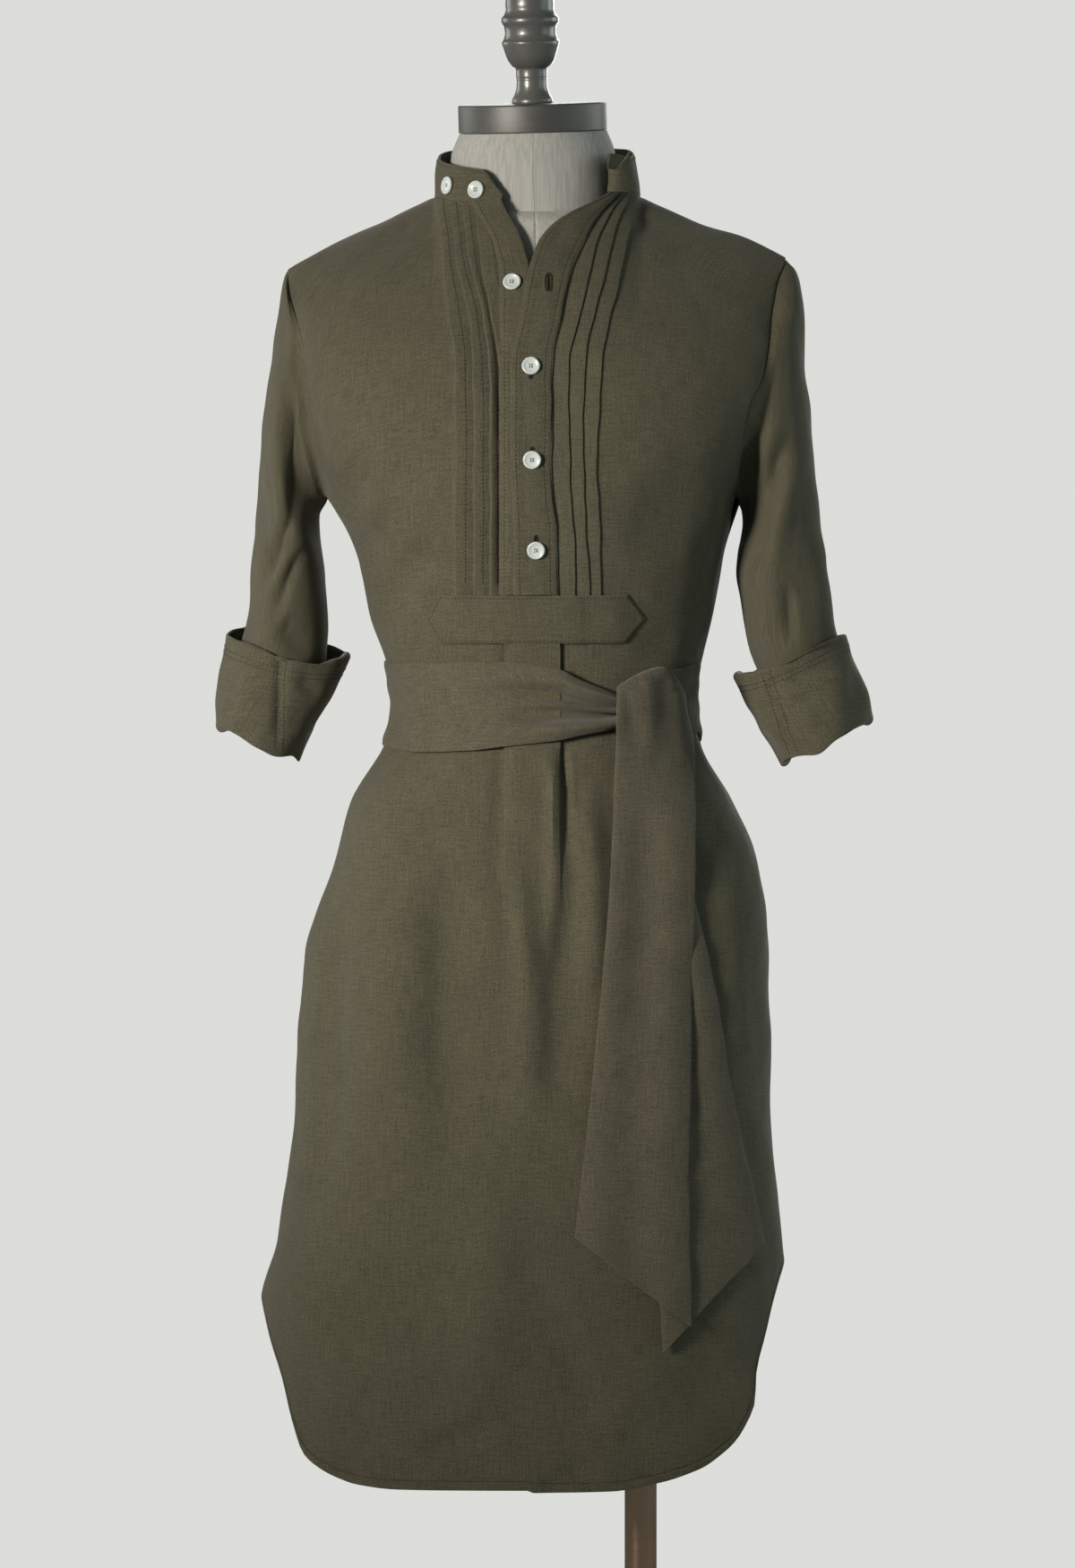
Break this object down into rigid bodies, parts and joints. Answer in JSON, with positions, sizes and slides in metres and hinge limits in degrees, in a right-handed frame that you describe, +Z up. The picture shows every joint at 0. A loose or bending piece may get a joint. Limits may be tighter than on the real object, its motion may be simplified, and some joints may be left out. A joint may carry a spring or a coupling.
{
  "type": "shirt dress on a limbless dress form",
  "caption": "Linen popover shirt dress with stand collar, tucked front, turned-back cuffs, shirt-tail hem and tied sash, worn by a limbless dress form on a round base.",
  "frame": {"origin": "on the floor, on the base's underside, below the middle of the dress", "axes": "+Z up; the front of the dress faces -Y; the wearer's left is +X"},
  "size_m": [0.5219, 0.38, 1.5851],
  "materials": {
    "linen": "matt plain-weave linen, olive brown",
    "sash": "the dress's own linen, doubled and pressed",
    "button": "pale grey-white shell with a soft gloss",
    "form": "off-white woven cover, matt",
    "pewter": "satin pewter grey",
    "copper": "polished copper-bronze tube",
    "base": "satin dark bronze paint"
  },
  "bodies": {
    "root": {"front": "linen", "back": "linen", "placket_over": "linen", "placket_under": "linen", "waist_tab": "linen", "collar_band": "linen", "sleeve_right": "linen", "sleeve_left": "linen", "cuff_right": "linen", "cuff_left": "linen", "button_collar_1": "button", "button_collar_2": "button", "button_front_1": "button", "button_front_2": "button", "button_front_3": "button", "button_front_4": "button", "sash_wrap": "sash", "sash_knot": "sash", "sash_tail_front": "sash", "sash_tail_back": "sash", "form_body": "form", "neck_cap": "pewter", "finial": "pewter", "pole": "copper", "base": "base"}
  },
  "joints": []
}
